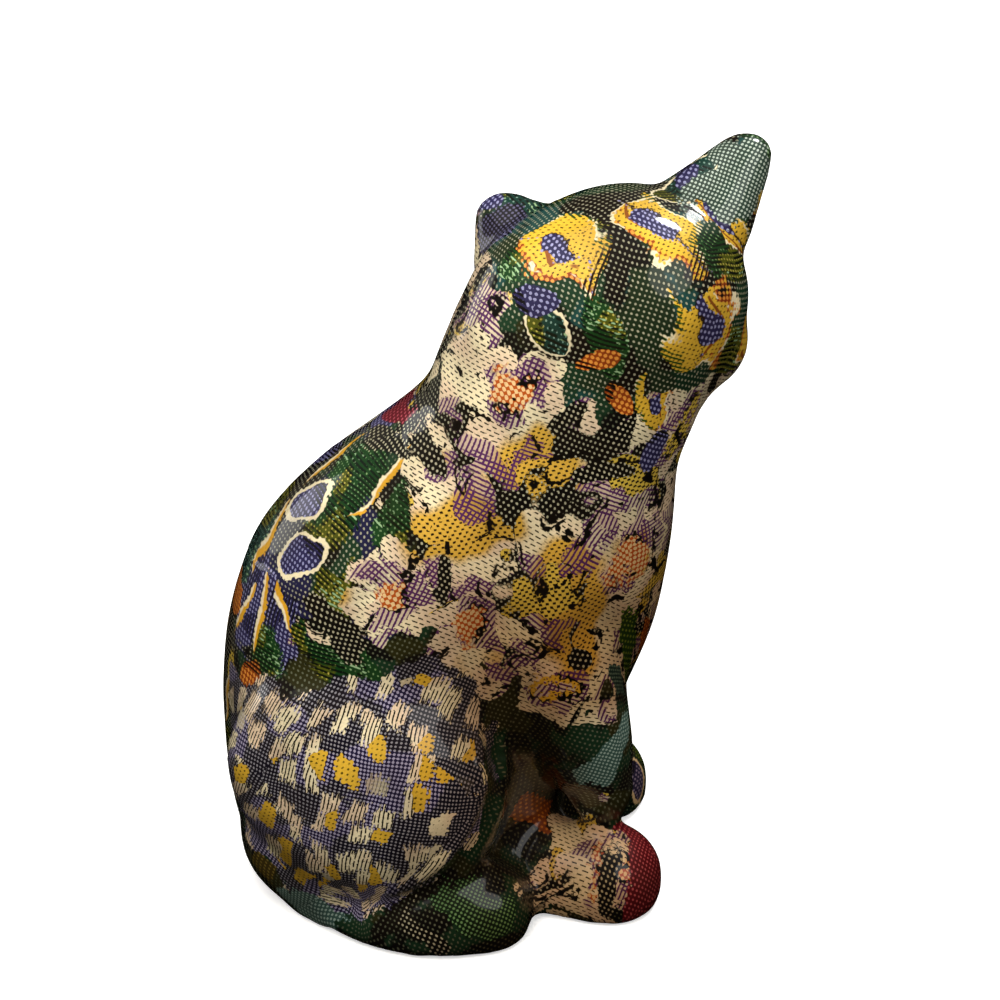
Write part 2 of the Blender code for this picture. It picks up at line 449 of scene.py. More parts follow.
class StampLayer:
    """One layer of motifs: a place on a stamp, its random number, and whether there is one."""

    def __init__(self, name, width):
        self.name = name
        self.width = width
        self.place = np.zeros((len(points), 3))
        self.under = np.zeros(len(points), bool)
        self.taken = self.under
        self.count = 0

    def press(self, spot, angle, reach, chance, toward=SHEET_UP, broad=1.0, room=1.0):
        """Presses one stamp at a point of the skin, if this share of it is free."""
        normal = normals[spot]
        along = direction_on(normal, angle, toward)
        far = reach * BORDER * 1.2 * max(1.0, broad)
        index = np.flatnonzero((length(points - points[spot]) < far) & (normals @ normal > 0.0))
        px, py = laid_flat(points[index], points[spot], normal, along)
        px, py = px / reach, py / (reach * broad)
        inside = (np.abs(px) < BORDER) & (np.abs(py) < self.width * BORDER)
        free = inside & ~self.taken[index]
        if free.sum() < inside.sum() * room:
            return False
        index = index[free]
        self.under[index] = True
        self.place[index] = np.stack((px[free], py[free], np.full(len(index), chance)), 1)
        self.taken = self.under.copy()
        self.taken[edge_ends[self.under[edge_ends].any(1)]] = True
        self.count += 1
        return True

    def lay(self, *rows, toward=SHEET_UP):
        """Presses listed stamps: place, angle, reach, chance and breadth. They may crowd each other."""
        for place, angle, reach, chance, broad in rows:
            if not self.press(nearest_point(place), angle, reach, chance, toward, broad, 0.5):
                print("no room for a", self.name, "at", place)

    def scatter(self, allowed, size, seed, tries=260, toward=None, turn=180.0):
        """Presses stamps at random free points, up to the given number of tries."""
        pick = np.random.default_rng(seed)
        for spot in pick.permutation(np.flatnonzero(allowed))[:tries]:
            angle, reach, chance = pick.uniform(-turn, turn), size * pick.uniform(0.85, 1.15), pick.uniform()
            if not self.taken[spot]:
                goal = SHEET_UP if toward is None else np.array(toward) - points[spot]
                self.press(spot, angle, reach, chance, goal)

    def store(self):
        store(self.name, "FLOAT_VECTOR", self.place, "vector")
        store(self.name + "_on", "FLOAT", self.under)
        print(self.name, "stamps:", self.count)


# %% Leaves and blossoms
leaves = StampLayer("leaf", 0.55)
leaves.lay(((-15, 31, 107), 190, 14.5, 0.2, 1.15), ((-25, 33, 92), 32, 14.5, 0.5, 0.75),
           ((-23, 20, 104), 205, 9.5, 0.3, 0.9),
           ((-29, 33, 72), 80, 12.0, 0.3, 1.0), ((-21, 48, 66), 30, 10.0, 0.1, 1.0),
           ((-25, -13, 148), 60, 6.5, 0.9, 1.25), ((-26, -25, 147), 40, 9.5, 0.3, 0.9))
leaves.scatter(rump_area > 0, 15.0, 3)
leaves.scatter((low_area > 2) & (x > 8), 11.0, 4, tries=40)
leaves.scatter(head_area > 4, 11.0, 6)
leaves.store()

blooms = StampLayer("bloom", 1.0)
blooms.lay(((-30, 21, 88), 0, 11.0, 0.2, 1.0), ((-29, 3, 79), 40, 10.5, 0.3, 1.0),
           ((-30, -15, 63), 80, 10.5, 0.6, 1.0), ((-28, -5, 135), 20, 12.0, 0.1, 1.0))
blooms.scatter(flank_area > 5, 13.0, 5, tries=400)
blooms.store()

# %% Petals, buds, blades and coloured patches
CROWN = (0.0, -20.0, 175.0)
petals = StampLayer("petal", 0.6)
petals.lay(((-17, -16, 163), 100, 12.0, 0.3, 1.3), ((-14, -38, 166), 80, 12.5, 0.6, 1.15),
           ((-23, -47, 151), 205, 15.0, 0.4, 1.3), ((-24, -36, 133), 205, 10.0, 0.2, 0.8),
           ((-5, -53, 163), 60, 9.5, 0.7, 0.9), ((-1, -58, 168), 90, 7.0, 0.5, 1.0))
petals.scatter((head_area > 2) & (ear_area < 0) & ((x > -6) | (y < -58)), 11.5, 21, toward=CROWN, turn=40.0)
petals.store()

blades = StampLayer("blade", 0.16)
blades.lay(((-18, 51, 77), 17, 9.5, 0.4, 1.5), ((-21, 46, 82), 62, 8.5, 0.6, 1.4),
           ((-9, 49, 92), 15, 9.0, 0.5, 1.9), ((-12, 53, 76), -5, 9.0, 0.3, 1.2))
blades.scatter(rump_area > 0, 10.0, 41, turn=25.0, tries=12)
blades.store()

buds = StampLayer("bud", 0.7)
buds.lay(((-10, 40, 101), 0, 9.0, 0.1, 0.95), ((-20, 41, 93), 0, 8.5, 0.2, 1.0), toward=(-0.45, -0.75, 0.47))
buds.lay(((-20, 54, 60), -10, 8.0, 0.97, 0.8), ((10, -40, 10), 0, 6.5, 0.1, 1.0),
         ((-21, -10, 154), 110, 7.0, 0.5, 0.8), ((-26, -28, 133), 60, 5.5, 0.97, 0.7),
         ((-27, -24, 142), 130, 5.5, 0.97, 0.7), ((-21, -36, 119), 0, 6.0, 0.5, 0.9))
buds.scatter((rump_area > 0) & (x > -6) & ~leaves.under, 8.0, 34, tries=40)
buds.scatter((head_area > 2) & (x > 0) & ~petals.under, 5.5, 35, tries=8)
buds.store()

# %% [markdown]
# Patches are plain torn pieces in one colour: crimson on a toe, orange in the hollow behind the
# foreleg, teal and leaf green down the foreleg's edge and a green mesh on the hind foot. Two pale
# teal patches, low at the back and low on the foreleg's front, are painted sheen. Each
# carries its own ink and paper colour on the skin's points.

# %% Coloured patches


def ink(text):
    """A printer's colour as six hexadecimal digits, turned into the linear values that shaders use."""
    parts = [int(text[i:i + 2], 16) / 255 for i in (0, 2, 4)]
    return tuple(p / 12.92 if p <= 0.04045 else ((p + 0.055) / 1.055) ** 2.4 for p in parts) + (1.0,)


BLACK = ink("0d0b09")
PATCH_COLOURS = {
    "crimson": (ink("5c0a18"), ink("c8606a")), "orange": (ink("8a4210"), ink("e08a30")),
    "teal": (ink("1a302a"), ink("6c8a7c")), "leaf green": (ink("24420f"), ink("7f9a3c")),
    # the grey green is the ear's own colour, made paler: partly painted sheen
    "green mesh": (ink("10240f"), ink("74a068")), "grey green and painted sheen": (ink("2f4238"), ink("b8c6b6")),
    "violet": (ink("1a1738"), ink("8f8dba")), "ochre": (ink("6a4c10"), ink("d8a838")),
    # the pale teal colours are painted sheen
    "painted teal sheen": (ink("3f5c54"), ink("a4bcb0")), "old gold": (ink("40330f"), ink("8f7a3a")),
    "black": (ink("0d0b09"), ink("bdb697")), "dusk": (ink("100e18"), ink("615f7c")),
}
PATCHES = (
    ((-35, -28, 14), 25, 10.0, "black", 0.4),
    ((-28, -40, 11), 0, 15.5, "crimson", 1.0), ((-18, -11, 21), 70, 6.5, "orange", 1.0),
    # the pale teal patch low at the back, and the one low on the foreleg's front below, are painted sheen
    ((-37, 42, 6), 90, 10.0, "painted teal sheen", 0.8), ((-30, 52, 14), 80, 7.0, "old gold", 0.8),
    ((-27, -28, 42), -15, 12.0, "painted teal sheen", 0.6), ((-23, -31, 58), 25, 9.0, "teal", 0.4),
    ((-19, -34, 66), 25, 14.0, "leaf green", 0.35), ((-14, -39, 64), 25, 8.0, "orange", 0.4),
    ((-44, 3, 12), 80, 11.0, "green mesh", 0.9), ((-46, 15, 9), 80, 8.0, "black", 0.9),
    ((-29, 34, 80), 70, 11.0, "black", 0.5),
    ((-18, 13, 118), 75, 8.5, "black", 0.4), ((-10, 22, 116), 120, 9.0, "black", 0.5),
    ((-26, -25, 115), 115, 7.0, "black", 0.45), ((-25, -30, 122), 20, 6.5, "black", 0.6),
    ((-27, -17, 129), 150, 6.0, "black", 0.4), ((-30, 9, 92), 20, 6.0, "black", 0.4),
    # the ear's grey green paper is its own colour, made paler to stand in for sheen on the ear: partly
    # painted sheen
    (in_world((-29, 3, 22)), 0, 12.0, "grey green and painted sheen", 1.0), (in_world((-22, 4, 16)), 90, 6.0, "ochre", 1.0),
    (in_world((21, 6, 20)), 0, 9.0, "dusk", 1.0),
    ((-5, 19, 119), 90, 9.0, "crimson", 1.0),
    ((22, 12, 150), 0, 9.0, "violet", 1.0), ((25, -42, 8), 0, 9.0, "leaf green", 1.0),
    ((44, -5, 8), 90, 10.0, "teal", 1.0), ((42, 25, 8), 90, 9.0, "crimson", 1.0),
    ((20, -36, 60), 0, 9.0, "ochre", 1.0),
)
FINE_PATCHES = ("green mesh", "teal", "dusk", "grey green and painted sheen", "painted teal sheen")
patches = StampLayer("patch", 0.8)
patch_ink = np.tile(np.array(BLACK), (len(points), 1))
patch_paper = np.tile(np.array(BLACK), (len(points), 1))
for place, angle, reach, colour, broad in PATCHES:
    before = patches.under.copy()
    patches.lay((place, angle, reach, 1.0 * (colour in FINE_PATCHES), broad))
    fresh = patches.under & ~before
    patch_ink[fresh], patch_paper[fresh] = PATCH_COLOURS[colour]
patches.store()
store("patch_ink", "FLOAT_COLOR", patch_ink, "color")
store("patch_paper", "FLOAT_COLOR", patch_paper, "color")

# %% [markdown]
# ## A small shop for shader sums
# Printed patterns are sums of distances and waves. The Wire class lets them be written as Python
# expressions: each operation adds one Math node. Everything else comes from one method, `node`.

# %% Wires and nodes


class Wire:
    """A shader value that can be added, multiplied and compared like a number."""

    def __init__(self, owner, socket):
        self.owner = owner
        self.socket = socket

    def calc(self, operation, *others, clamp=False):
        values = dict(enumerate((self, *others)))
        return self.owner.node("ShaderNodeMath", {"operation": operation, "use_clamp": clamp}, values)

    def __add__(self, other):
        return self.calc("ADD", other)

    def __sub__(self, other):
        return self.calc("SUBTRACT", other)

    def __rsub__(self, other):
        return (self * -1) + other

    def __mul__(self, other):
        return self.calc("MULTIPLY", other)

    def __truediv__(self, other):
        return self.calc("DIVIDE", other)

    def __abs__(self):
        return self.calc("ABSOLUTE")

    def __pow__(self, other):
        return self.calc("POWER", other)

    __radd__ = __add__
    __rmul__ = __mul__

    def wave(self, period, shift=0.0):
        """A cosine of the value with the given period, from -1 to 1."""
        return (self * (2 * pi / period) + shift).calc("COSINE")

    def above(self, edge, soft=0.03):
        """0 below the edge and 1 above it."""
        return ((self - edge) / soft).calc("ADD", 0.5, clamp=True)

    def below(self, edge, soft=0.03):
        return 1 - self.above(edge, soft)

    def at_least(self, other):
        return self.calc("MAXIMUM", other)


class NodeTree:
    """One material's nodes."""

    def __init__(self, name):
        self.material = bpy.data.materials.new(name)
        self.material.use_nodes = True
        self.tree = self.material.node_tree
        self.tree.nodes.clear()

    def node(self, kind, settings=None, sockets=None, output=0):
        """Adds a node: its settings first, then its sockets' values or links. Returns one output."""
        made = self.tree.nodes.new(kind)
        for name, value in (settings or {}).items():
            setattr(made, name, value)
        for name, value in (sockets or {}).items():
            if isinstance(value, Wire):
                self.tree.links.new(value.socket, made.inputs[name])
            else:
                made.inputs[name].default_value = value
        return Wire(self, made.outputs[output]) if made.outputs else made

    def stored(self, name, output="Fac"):
        return self.node("ShaderNodeAttribute", {"attribute_name": name}, output=output)

    def split(self, vector):
        outputs = self.node("ShaderNodeSeparateXYZ", sockets={0: vector}).socket.node.outputs
        return [Wire(self, socket) for socket in outputs]

    def noise(self, vector, scale, detail=0.0, output="Fac"):
        sockets = {"Vector": vector, "Scale": scale, "Detail": detail}
        return self.node("ShaderNodeTexNoise", sockets=sockets, output=output)

    def vector(self, operation, *values, output=0):
        """A Vector Math node."""
        settings = {"operation": operation}
        return self.node("ShaderNodeVectorMath", settings, dict(enumerate(values)), output)

    def cells(self, place, randomness=1.0, **settings):
        """Scattered cells: the middle of each, the distance to it, and three random numbers of its own."""
        sockets = {"Vector": place, "Scale": 1.0, "Randomness": randomness}
        middle = self.node("ShaderNodeTexVoronoi", {"feature": "F1", **settings}, sockets, "Position")
        outputs = middle.socket.node.outputs
        return middle, Wire(self, outputs["Distance"]), self.split(Wire(self, outputs["Color"]))

    def mix(self, factor, a, b):
        """Colour a where the factor is 0 and colour b where it is 1."""
        return self.node("ShaderNodeMix", {"data_type": "RGBA"}, {0: factor, 6: a, 7: b}, 2)


print("shader shop is open")

# %% [markdown]
# ## The canvas screen
# The paper is printed to look like canvas. In dark colours the weave shows as rows of light dots, in
# light colours as small dark dots, and in the cream petals as short dashes laid like bricks. One
# pair of crossed waves gives the first two, with a higher or lower threshold for more or less ink.

# %% Screens over the printed sheet
WEAVE = 1.18  # mm from thread to thread
FINE_WEAVE = 0.9  # on the haunches
varnished = NodeTree("varnished_chintz")
mix = varnished.mix
sheet_at = varnished.node("ShaderNodeUVMap", {"uv_map": "print"})
body_at = varnished.node("ShaderNodeTexCoord", output="Object")
flat_u, flat_v, _ = varnished.split(sheet_at)
slow_a, slow_b, slow_c = varnished.split(varnished.noise(sheet_at, 0.1, output="Color"))
u = flat_u + (slow_a - 0.5) * 2.0
v = flat_v + (slow_b - 0.5) * 2.0
threads = (u.wave(WEAVE) + v.wave(WEAVE)) * 0.42 + (u + v).wave(WEAVE) * 0.16
fine_threads = (u.wave(FINE_WEAVE) + v.wave(FINE_WEAVE)) * 0.5
fibres = varnished.noise(sheet_at, 1.9)
shreds, shreds_b, shreds_c = varnished.split(varnished.noise(sheet_at, 0.75, output="Color"))
nibble = threads * 0.45 + (shreds - 0.5) * 1.8  # mm that a printed edge wanders
warmth = varnished.stored("warm_area")


def dots(share, canvas=threads):
    """Ink on this share of the canvas. Rare ink is dark dots, and rare paper is light dots."""
    rare = min(share, 1 - share)
    edge = 1 - rare * pi if rare < 0.3 else (0.5 - rare) * 0.3
    edge = edge if share > 0.5 else -edge
    return (canvas + (fibres - 0.5) * 0.7).below(edge, 0.22)


def dashes(reach):
    """Short dark dashes in rows, laid like bricks. Reach is their length as a share of a brick."""
    rows = v / (WEAVE * 0.86)
    bricks = u / (WEAVE * 1.7) + rows.calc("FLOOR") * 0.5
    along = abs(bricks.calc("FRACT") - 0.5).below((fibres - 0.5) * 0.5 + reach * 0.5, 0.06)
    return along * abs(rows.calc("FRACT") - 0.5).below(0.15, 0.1)


def hatch(lines, share=0.45):
    """Drawn strokes along one direction of the sheet."""
    return (lines.wave(WEAVE * 0.9) + (fibres - 0.5) * 1.2).above(1 - 2 * share, 0.4)


print("weave:", WEAVE, "mm")

# %% [markdown]
# ## Slow noise
# A painter's shapes are never regular. Slow noise on the body's own coordinates parts the broad
# colours and pushes every outline about, and it runs on across the scraps.

# %% Blots and marks


def cloud(size, number, detail=0.0):
    """Slow noise with blots of about this size in mm. The number gives each its own."""
    moved = varnished.vector("ADD", body_at, (0.31 * number, 0.17, 0))
    return varnished.noise(moved, 1 / (size * MM), detail, "Color")


blot_a, blot_b, blot_c = varnished.split(cloud(14, 1, 1.0))
marks = cloud(7, 2)
mark_a, mark_b, mark_c = varnished.split(marks)
torn_blot = nibble * 0.035
print("noise is mixed")

# %% [markdown]
# ## Colours of the print
# Every printed colour is a pair: the ink, and the paper that shows between its dots. Each pair is
# mixed by one of the screens above, so the two always meet at the weave.

# %% Printed colours
CREAM = ink("f0e2ba")
PEACH = ink("e8cfae")
YELLOW = ink("e0b236")
PALE_DOT = ink("b4b194")
PURPLE = ink("562a5a")
BROWN = ink("22130c")
OLIVE = ink("55430a")
DARK_GREEN = ink("18331f")
TEAL = ink("1a423e")
OLIVE_GROUND = ink("2b2a10")
NAVY = ink("1c1b3c")


def printed(ink_colour, paper, screen):
    return mix(screen, paper, ink_colour)


rare_paper = dots(0.85)
glow = (blot_b + mark_a * 0.3 + (warmth * 0.045).at_least(-0.12)).above(0.76, 0.14)
cream_tone = mix(slow_c.above(0.5, 0.2), CREAM, PEACH)
warm_tone = mix(glow, cream_tone, ink("dcae42"))
cream = printed(BROWN, warm_tone, dashes(0.58) * (1 - glow) + dots(0.2) * glow)
strokes_up = hatch(u, 0.42)
strokes_across = hatch(v, 0.42)
crossed = strokes_up * mark_b.below(0.62, 0.03)
crossed = crossed.at_least(strokes_across * mark_b.above(0.42, 0.03))
purple = printed(PURPLE, mix(0.25, warm_tone, PURPLE), crossed)
yellow = printed(OLIVE, YELLOW, dots(0.16))
spotted = printed(BLACK, ink("e3c24c"), dots(0.24))
speckled = printed(ink("b9541c"), ink("ecc88e"), dots(0.3))
violet = printed(ink("27244a"), ink("9594bc"), dots(0.78))
orange = printed(ink("8e3c10"), ink("e3913a"), dots(0.6))
black = printed(BLACK, PALE_DOT, dots(0.84))
print("printed colours are mixed")

# %% [markdown]
# ## Drawing the motifs
# Each motif is drawn from the stamp's own place: x along it, y across it, both 1 at its edge. The
# edge is nibbled by the threads of the canvas, which is what gives printed canvas its look.

# %% Places on a stamp


def on_stamp(name, reach, wobble=0.35):
    """Place along and across, the stamp's own number, 1 on it, and how far its edge wanders."""
    along, across, chance = varnished.split(varnished.stored(name, "Vector"))
    along = along + (mark_a - 0.5) * wobble
    across = across + (mark_b - 0.5) * wobble
    return along, across, chance, varnished.stored(name + "_on").above(0.999, 0.001), nibble * (1 / reach)


def lens(along, power, half):
    """Half the width of a leaf or petal, pointed at both ends, at each place along it."""
    return (1 - along * along).at_least(0.0) ** power * half


def blossom(name, under, reach):
    """A ruffled flower with two rings of petals, cream and purple outside, yellow or speckled inside."""
    along, across, chance, on, torn = on_stamp(name, reach, 0.9)
    radius = (along * along + across * across) ** 0.5
    angle = across.calc("ARCTAN2", along) + chance * 6
    lobes = abs((angle * 2.5).calc("COSINE")) ** 0.5
    inner_lobes = abs((angle * 2.0 + 1).calc("COSINE")) ** 0.5
    in_outer = lobes * 0.3 + 0.62 + torn - radius
    in_inner = inner_lobes * 0.08 + (shreds_c - 0.5) * 0.5 + 0.3 + torn - radius
    hatched = (radius - mark_c * 1.6 + lobes * 0.2 + torn).below(-0.1)
    flower = mix(hatched, cream, purple)
    folds = (lobes + torn).below(0.42, 0.04) * (radius + mark_a).below(1.15, 0.05)
    flower = mix(folds, flower, purple)
    inner = mix(chance.above(0.5), speckled, yellow)
    inner = mix(chance.above(0.75), inner, spotted)
    flower = mix(in_inner.above(0, 0.08), flower, inner)
    ring = abs(in_inner).below(0.06, 0.03) * mark_c.above(0.53, 0.05)
    flower = mix(ring, flower, BLACK)
    heart = (torn * 2.5 + 0.15 - radius).above(0)
    flower = mix(heart * chance.above(0.5), flower, purple)
    return mix(in_outer.above(0) * on, under, flower)


def leaf(name, under, reach):
    """A broad leaf in rows of short strokes, dark on one side of its rib, some with a cream edge."""
    along, across, chance, on, torn = on_stamp(name, reach)
    teeth = (along * 9 - abs(across) * 6).calc("FRACT") * 0.12 * chance.below(0.45)
    inside = lens(along, 0.55, 0.52) + torn + teeth - abs(across) - 0.06
    deep = mix(chance.above(0.6), ink("173c19"), ink("15382f"))
    light = mix(chance.above(0.6), ink("7fa06a"), ink("86a898"))
    tone = printed(deep, light, dots(0.9))
    olive = printed(ink("4f5412"), ink("c0b050"), dots(0.88))
    old = (blot_b + along * 0.1 + torn_blot).above(0.56).at_least(chance.above(0.45) * chance.below(0.6))
    tone = mix(old, tone, olive)
    side = (shreds_b + mark_c * 0.8 + across * 0.3).above(0.8, 0.1)
    tone = mix(side * hatch(v, 0.5), tone, ink("071008"))
    shine = (shreds_c + mark_a * 0.8 - across * 0.3).above(1.15, 0.1)
    tone = mix(shine * hatch(v, 0.3), tone, ink("9cc08e"))
    edge = (inside - torn * 0.5).below(0.07, 0.02) * chance.above(0.8)
    tone = mix(edge, tone, CREAM)
    return mix(inside.above(0) * on, under, tone)


def iris_petal(name, under, reach):
    """A broad yellow petal, pointed and a little bent, with a violet drop to one side of it."""
    along, across, chance, on, torn = on_stamp(name, reach, 0.6)
    bent = across + (along * along - 0.4) * (chance - 0.5) * 0.7
    inside = lens(along, 0.62, 0.54) * (along * 0.35 + 1) + torn - abs(bent)
    drop_at = (along - 0.1 - chance * 0.25) / (chance * 0.2 + 0.3)
    drop_side = abs(bent - 0.12 + chance * 0.2)
    in_drop = lens(drop_at, 0.6, 0.22) * (drop_at * 0.4 + 1) + torn * 0.8 - drop_side
    tone = mix((inside + shreds_b * 0.3).below(0.23, 0.05) * bent.above(0), yellow, orange)
    tone = mix(inside.below(0.07) * mark_c.above(0.5, 0.03), tone, CREAM)
    folds = abs(bent + 0.1 - lens(along, 0.5, 0.34)).below(0.035, 0.02) * mark_c.above(0.55, 0.03)
    tone = mix(folds, tone, ink("8a4a12"))
    shade = (inside + mark_a * 0.6).below(0.44, 0.05) * bent.below(0.0) * hatch(v, 0.45)
    tone = mix(shade, tone, ink("2c4a16"))
    tone = mix(in_drop.above(-0.05) * (bent + shreds * 0.2).below(0.1), tone, BROWN)
    tone = mix(in_drop.above(0), tone, violet)
    tone = mix(hatch(u, 0.4) * (along + shreds * 0.3).below(-0.45, 0.1), tone, BROWN)
    return mix(inside.above(0) * on, under, tone)


def blade(name, under, reach):
    """A long thin petal, yellow and cream, bent like a blade of grass."""
    along, across, chance, on, torn = on_stamp(name, reach)
    bent = across + (along * along - 0.5) * (chance - 0.5) * 0.3
    inside = lens(along, 0.7, 0.105) + torn * 0.5 - abs(bent)
    tone = mix((bent + shreds * 0.05).above(0.04), ink("dfa526"), CREAM)
    return mix(inside.above(0) * on, under, tone)


def bud(name, under, reach):
    """A small violet or orange oval, some with a cream ring."""
    along, across, chance, on, torn = on_stamp(name, reach, 0.5)
    inside = torn * 0.6 + 0.86 - (along * along + (across / 0.64) ** 2.0) ** 0.5
    tone = mix(chance.above(0.93), violet, orange)
    shadow = (along + across * 0.7 + shreds * 0.4).above(0.55, 0.1) * hatch(v, 0.6)
    tone = mix(shadow, tone, BLACK)
    ringed = (inside - torn * 0.3).below(0.17, 0.03) * chance.below(0.4)
    tone = mix(ringed, tone, CREAM)
    return mix(inside.above(0) * on, under, tone)


def patch(name, under, reach):
    """A torn piece in one colour, screened like the rest."""
    along, across, chance, on, torn = on_stamp(name, reach, 0.9)
    inside = torn * 1.6 + 0.86 - (along ** 4.0 + (across / 0.72) ** 4.0) ** 0.25
    coarse = dots(0.82) * chance.below(0.5)
    screen = coarse + dots(0.78, fine_threads) * chance.above(0.5)
    tone = printed(varnished.stored("patch_ink", "Color"), varnished.stored("patch_paper", "Color"), screen)
    return mix(inside.above(0) * on, under, tone)


print("motifs are drawn from", len(cat.data.attributes), "attributes")

# %% [markdown]
# ## Grounds
# Behind the motifs the print is a painter's ground. On the flanks, round petals are pushed together:
# cream above, purple strokes in their shade, some of them yellow, and black where they part.
# Elsewhere the ground is nearly black, green or teal.

# %% Painter's grounds
PETAL_SHADE = (0.3, 0.5, -0.8)  # the side of each petal that is hatched


def petal_field(size):
    """Petals pushed together, each one a cell of a Voronoi pattern whose outlines wander."""
    unit = 1 / (size * MM)
    scaled = varnished.vector("MULTIPLY_ADD", body_at, (unit, unit, unit), (3.1, 0.7, 0))
    place = varnished.vector("MULTIPLY_ADD", marks, (0.9, 0.9, 0.9), scaled)
    middle, distance, (chance, second, third) = varnished.cells(place)
    offset = varnished.vector("SUBTRACT", place, middle)
    low = varnished.vector("DOT_PRODUCT", offset, PETAL_SHADE, output=1)
    tone = mix(chance.above(0.8), cream, spotted)
    bruise = (varnished.stored("purple_area") * 0.12).at_least(-0.1)
    shaded = (low * 0.6 + (blot_a - 0.5) * 2.2 + second * 0.3 + torn_blot * 2 + bruise).above(0.3)
    tone = mix(shaded, tone, purple)
    gap = (distance + nibble * 0.05 + (third - 0.5) * 0.3).above(0.66)
    tone = mix(gap, tone, black)
    outline = abs(distance + nibble * 0.04 + third * 0.2 - 0.68).below(0.035, 0.02)
    outline = outline * (mark_c + nibble * 0.03).above(0.55, 0.03)
    return mix(outline, tone, BLACK)


def dark_ground(first, second, third, dot=PALE_DOT):
    tone = mix((blot_a + torn_blot).above(0.5), first, second)
    tone = mix((blot_b + torn_blot).above(0.54), tone, third)
    tone = mix((blot_c + torn_blot).above(0.54), tone, BLACK)
    return printed(tone, mix(0.2, dot, tone), rare_paper)


def brush_marks(under):
    """Short black squiggles, as a loaded brush leaves them, over the blossoms."""
    line = abs(mark_a - 0.5 + torn_blot * 0.5).below(0.055, 0.01) * (mark_b + torn_blot).above(0.59, 0.02)
    return mix(line * shreds_b.above(0.46, 0.03), under, BLACK)


# %% [markdown]
# ## The patchwork on the haunch
# The haunch has no flowers: short cream bars with dark strokes down them and yellow dabs lie over a
# grid of violet threads. Voronoi cells scatter the bars, and each cell's random colour chooses.

# %% Bars and dabs
PATCH_WIDE, PATCH_TALL = 5.6, 7.6  # mm


def patchwork():
    grid = printed(ink("1b1636"), ink("aaa2bc"), dots(0.74, fine_threads))
    night = printed(ink("0e0b18"), ink("989499"), dots(0.8, fine_threads))
    grid = mix((blot_b + torn_blot).above(0.48), grid, night)
    drift_u = (blot_a - 0.5) * 9 + u
    drift_v = (blot_c - 0.5) * 9 + v
    drifted = {0: drift_u / PATCH_WIDE, 1: drift_v / PATCH_TALL}
    place = varnished.node("ShaderNodeCombineXYZ", sockets=drifted)
    middle, _, (chance, second, third) = varnished.cells(
        place, 0.95, voronoi_dimensions="2D", distance="CHEBYCHEV")
    across, along, _ = varnished.split(varnished.vector("SUBTRACT", place, middle))
    ragged = (hatch(u, 0.5) - 0.5) * 0.14 + (shreds - 0.5) * 0.3
    long_enough = (ragged + 0.3 + second * 0.16 - abs(along)).above(0)
    wide_enough = (nibble * 0.1 + 0.24 + third * 0.2 - abs(across)).above(0)
    bar = long_enough * wide_enough * chance.above(0.38)
    stroke = (u.wave(FINE_WEAVE) + (fibres - 0.5) * 0.8).above(0.4, 0.2)
    stroke = stroke * (shreds_c + third * 0.2).above(0.46, 0.03)
    light = printed(BLACK, cream_tone, dots(0.1))
    tone = mix(bar, grid, light)
    tone = mix(bar * stroke, tone, BLACK)
    dab = (nibble * 0.14 + 0.34 - (along ** 4.0 + (across * 0.9) ** 4.0) ** 0.25).above(0)
    dab = dab * varnished.stored("haunch_area").above(4)
    tone = mix(dab * chance.below(0.26), tone, yellow)
    return mix(dab * (chance - 0.32).below(0) * chance.above(0.26), tone, light)


# %% [markdown]
# ## Printing and varnishing
# The layers print over each other in the order a printer would use: grounds, leaves, blossoms,
# petals, buds, and the patchwork on the haunches. A thick clear coat over a slightly rough paper
# gives the sharp highlights, and a very low bump keeps the varnish from looking like plastic. Painted
# shade darkens and browns the colours low down and at the front, and dark brown blots lie here and there.

# %% The varnished material


def area(name, wander=0.0):
    """1 inside one of the broad areas, with an edge that wanders by this many millimetres."""
    return (varnished.stored(name + "_area") + nibble + (mark_c - 0.5) * wander).above(0, 0.2)


def varnish():
    # the ground outside the other areas, mostly low down round the feet, takes dimmer light dots than the
    # other grounds: painted shade
    colour = dark_ground(DARK_GREEN, BLACK, OLIVE_GROUND, ink("6c705a"))
    colour = mix(area("rump", 20), colour, dark_ground(BLACK, NAVY, DARK_GREEN))
    colour = mix(area("head", 10), colour, dark_ground(DARK_GREEN, TEAL, ink("1b2a17")))
    brushed_violet = mix(strokes_up * mark_a.above(0.5), violet, BLACK)
    colour = mix(area("violet", 8), colour, brushed_violet)
    colour = mix(area("flank", 24), colour, petal_field(14))
    colour = leaf("leaf", colour, 13)
    colour = blossom("bloom", colour, 13)
    colour = mix(area("flank", 10), colour, brush_marks(colour))
    colour = iris_petal("petal", colour, 12)
    colour = blade("blade", colour, 10)
    colour = bud("bud", colour, 6)
    colour = mix(area("haunch", 8), colour, patchwork())
    colour = patch("patch", colour, 10)
    # painted shade: the colours are multiplied by a brown, most low down and at the front
    shade_blend = {"data_type": "RGBA", "blend_type": "MULTIPLY"}
    darkened = {0: varnished.stored("painted_shade") * 0.8, 6: colour, 7: ink("b4916c")}
    colour = varnished.node("ShaderNodeMix", shade_blend, darkened, 2)
    worn = (blot_c - 0.4).at_least(0.0) * 1.1 + (fibres - 0.4).at_least(0.0) * 0.3
    colour = mix(worn, colour, ink("1e140a"))
    grain = varnished.noise(body_at, 900.0)
    relief = varnished.node("ShaderNodeBump", sockets={"Strength": 0.12, "Distance": 0.0004, "Height": grain})
    shader = varnished.node("ShaderNodeBsdfPrincipled", sockets={
        "Base Color": colour, "Roughness": 0.45, "Normal": relief, "Coat Weight": 1.0,
        "Coat Roughness": 0.07, "Coat IOR": 1.5, "Specular IOR Level": 0.2})
    varnished.node("ShaderNodeOutputMaterial", sockets={"Surface": shader})
    return varnished.material


